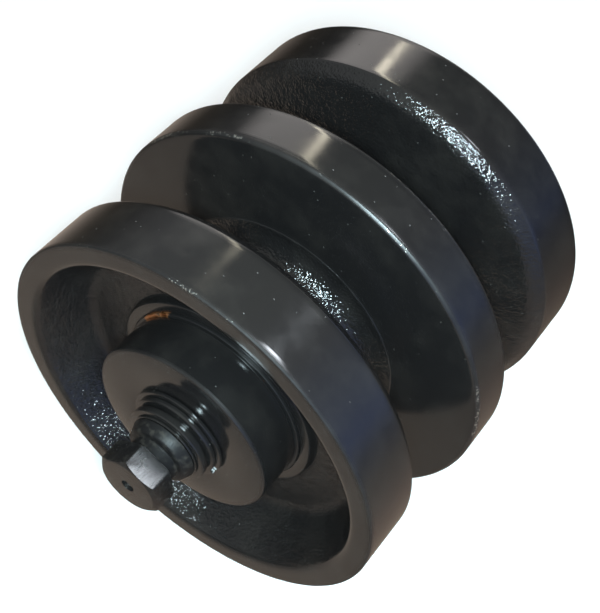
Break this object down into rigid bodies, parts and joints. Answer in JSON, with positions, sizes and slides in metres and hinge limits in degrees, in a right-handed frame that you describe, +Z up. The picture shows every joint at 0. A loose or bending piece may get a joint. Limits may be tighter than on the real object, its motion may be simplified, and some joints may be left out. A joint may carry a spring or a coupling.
{
  "type": "track roller",
  "caption": "Crawler track roller: rimmed shell with a middle guide flange turning on a fixed shaft between sealed end collars.",
  "frame": {"origin": "middle of the roller on the shaft's axis, which is the centre of the whole part's box", "axes": "+Y along the shaft from the front end to the rear end, +Z up"},
  "size_m": [0.277, 0.3366, 0.277],
  "materials": {
    "black_painted_steel": "gloss black paint over forged, cast-textured and machined steel",
    "ground_steel": "ground and oiled",
    "bronze": "turned bearing bronze",
    "seal_iron": "cast, with a lapped sealing face",
    "seal_rubber": "moulded matte black"
  },
  "bodies": {
    "axle": {"shaft": "ground_steel", "front_collar": "black_painted_steel", "front_collar_pin": "ground_steel", "front_o_ring": "seal_rubber", "front_retaining_ring": "black_painted_steel", "front_washer": "black_painted_steel", "front_sealing_washer": "black_painted_steel", "front_lube_plug": "black_painted_steel", "front_grease_nipple": "black_painted_steel", "front_collar_seal_ring": "seal_iron", "front_collar_toric_ring": "seal_rubber", "rear_collar": "black_painted_steel", "rear_collar_pin": "ground_steel", "rear_o_ring": "seal_rubber", "rear_retaining_ring": "black_painted_steel", "rear_washer": "black_painted_steel", "rear_sealing_washer": "black_painted_steel", "rear_lube_plug": "black_painted_steel", "rear_grease_nipple": "black_painted_steel", "rear_collar_seal_ring": "seal_iron", "rear_collar_toric_ring": "seal_rubber"},
    "roller": {"roller_shell": "black_painted_steel", "front_bushing": "bronze", "front_thrust_washer": "bronze", "front_shell_seal_ring": "seal_iron", "front_shell_toric_ring": "seal_rubber", "rear_bushing": "bronze", "rear_thrust_washer": "bronze", "rear_shell_seal_ring": "seal_iron", "rear_shell_toric_ring": "seal_rubber"}
  },
  "joints": [
    {"name": "roller_spin", "type": "hinge", "parent": "axle", "child": "roller", "pos_m": [0, 0, 0], "axis": [0, 1, 0], "continuous": true}
  ]
}
